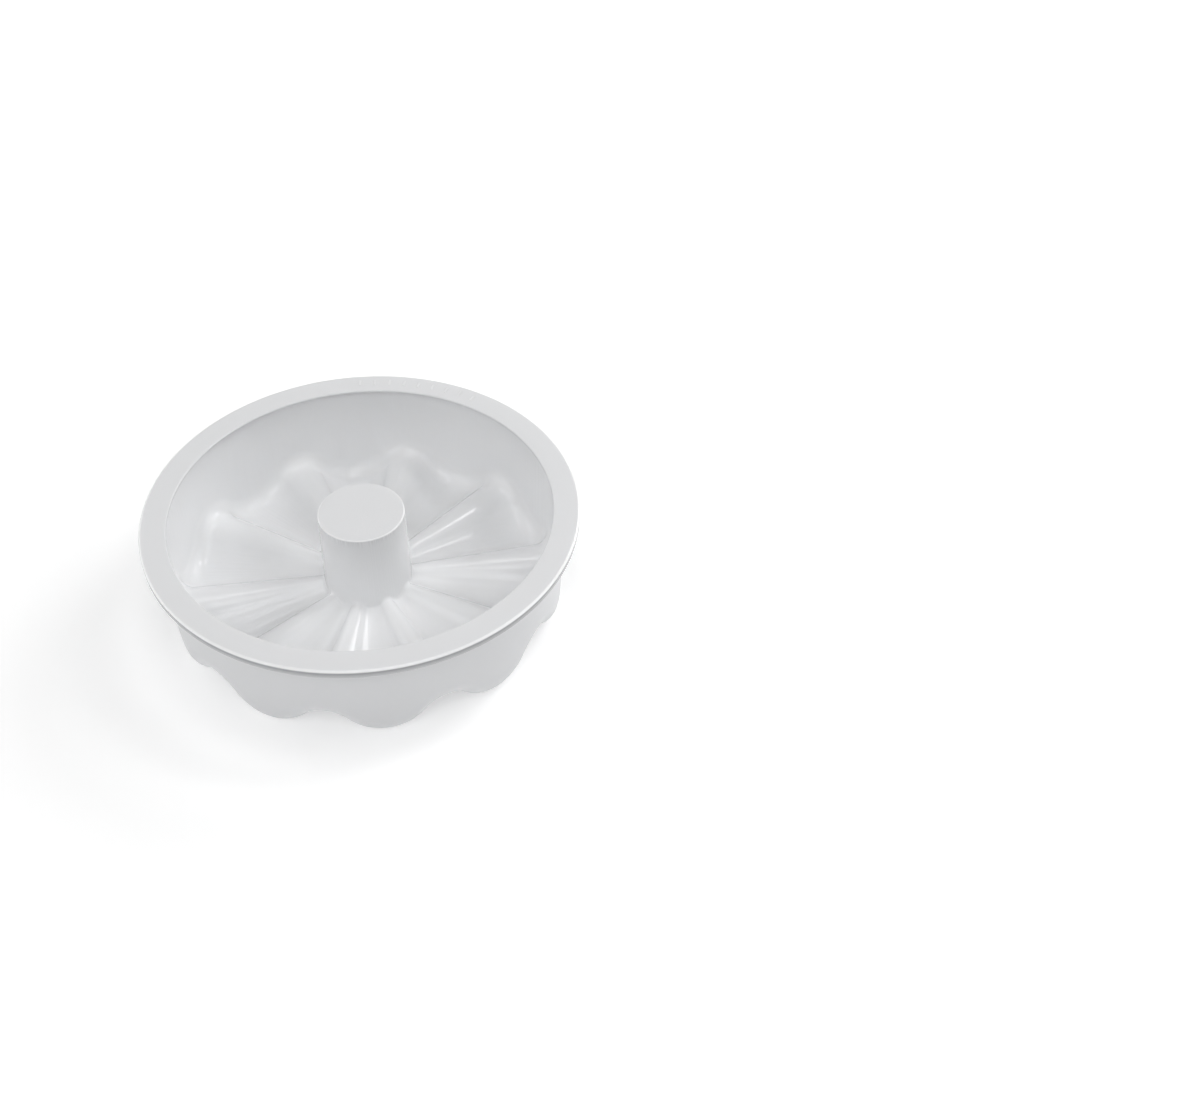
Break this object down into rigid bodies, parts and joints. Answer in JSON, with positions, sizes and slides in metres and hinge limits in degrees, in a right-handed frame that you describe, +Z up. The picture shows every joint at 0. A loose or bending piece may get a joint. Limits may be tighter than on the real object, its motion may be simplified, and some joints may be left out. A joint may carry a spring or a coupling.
{
  "type": "silicone ring cake mould",
  "caption": "Round silicone ring cake mould with radiating petals in its base, a hollow centre post and a wide flat rim.",
  "frame": {"origin": "on the axis of the mould, at the height of the ground under the crests of its petals", "axes": "+Z up out of the open mouth, along the post; -Y points through the crest of one petal"},
  "size_m": [0.2507, 0.2506, 0.067],
  "materials": {
    "silicone": "satin"
  },
  "bodies": {
    "root": {"mould_body": "silicone"}
  },
  "joints": []
}
